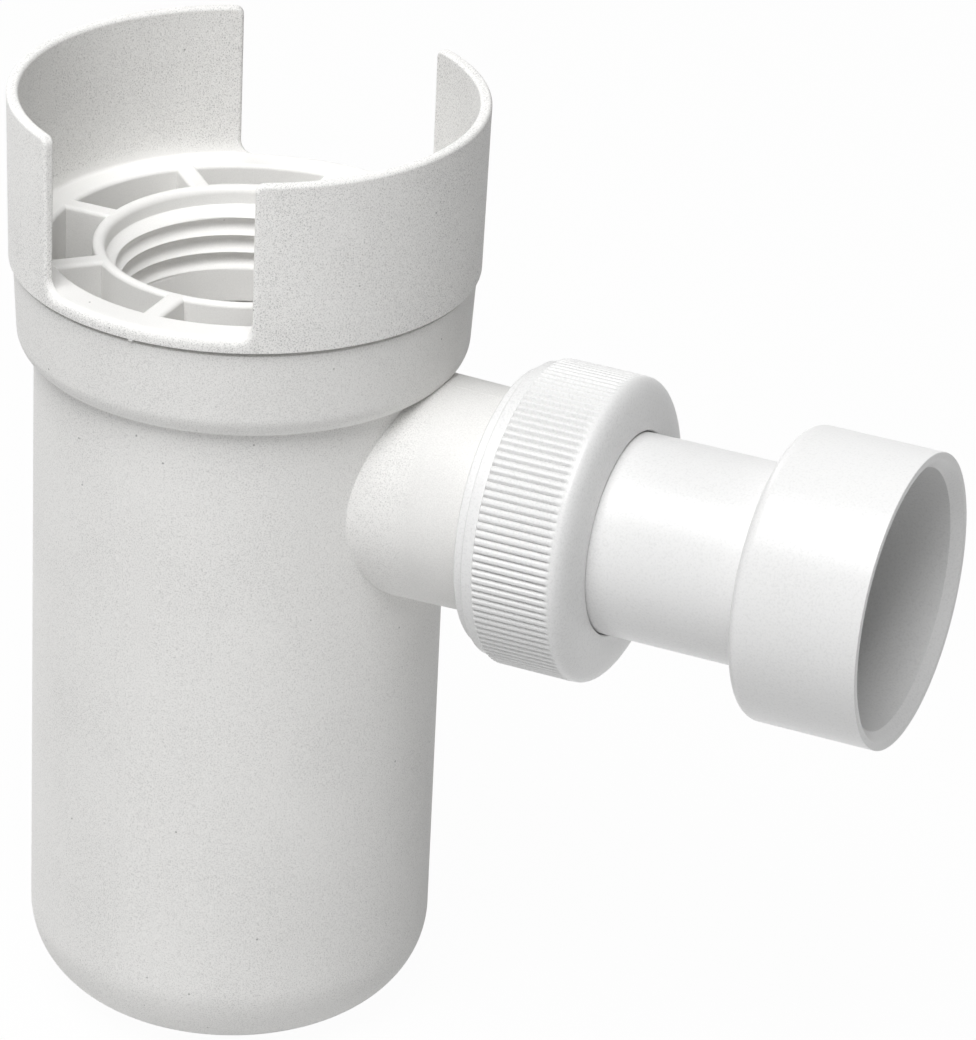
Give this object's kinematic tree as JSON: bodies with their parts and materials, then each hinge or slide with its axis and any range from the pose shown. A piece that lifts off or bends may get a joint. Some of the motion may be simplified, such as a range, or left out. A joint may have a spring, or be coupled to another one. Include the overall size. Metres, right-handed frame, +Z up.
{
  "type": "tundish trap",
  "caption": "Water trap with an open winged crown round a threaded inlet hub, a deep cup with a dip tube, and a side outlet with a knurled union nut and a pipe socket.",
  "frame": {"origin": "centre of the threaded hub's rim, on the trap's axis, where the trap hangs from the valve", "axes": "+Z up along the cup and the inlet hub, +X along the outlet, towards the socket's mouth"},
  "size_m": [0.1182, 0.0578, 0.1218],
  "materials": {
    "crown_plastic": "fine satin grain, warm light grey white",
    "body_plastic": "fine satin grain, warm light grey white",
    "dip_plastic": "satin white",
    "seal_rubber": "matt black",
    "gasket_rubber": "matt black",
    "tail_plastic": "semi-gloss white",
    "nut_plastic": "soft sheen white"
  },
  "bodies": {
    "crown": {"inlet_crown": "crown_plastic"},
    "trap": {"trap_body": "body_plastic", "dip_tube": "dip_plastic", "insert_seal": "seal_rubber"},
    "gasket": {"outlet_gasket": "gasket_rubber"},
    "tail": {"tail_pipe": "tail_plastic"},
    "nut": {"union_nut": "nut_plastic"}
  },
  "joints": [
    {"name": "trap_swivel", "type": "hinge", "parent": "crown", "child": "trap", "pos_m": [0, 0, -0.006], "axis": [0, 0, 1], "continuous": true},
    {"name": "union_travel", "type": "slide", "parent": "trap", "child": "gasket", "axis": [1, 0, 0], "range_m": [0, 0.007]},
    {"name": "nut_turn", "type": "hinge", "parent": "gasket", "child": "nut", "pos_m": [0.046, 0, -0.0266], "axis": [1, 0, 0], "range_deg": [0, 1080]},
    {"name": "tail_swivel", "type": "hinge", "parent": "gasket", "child": "tail", "pos_m": [0.046, 0, -0.0266], "axis": [1, 0, 0], "continuous": true}
  ],
  "couplings": [
    {"joint": "union_travel", "follows": "nut_turn", "m_per_rad": 0.00036749}
  ]
}
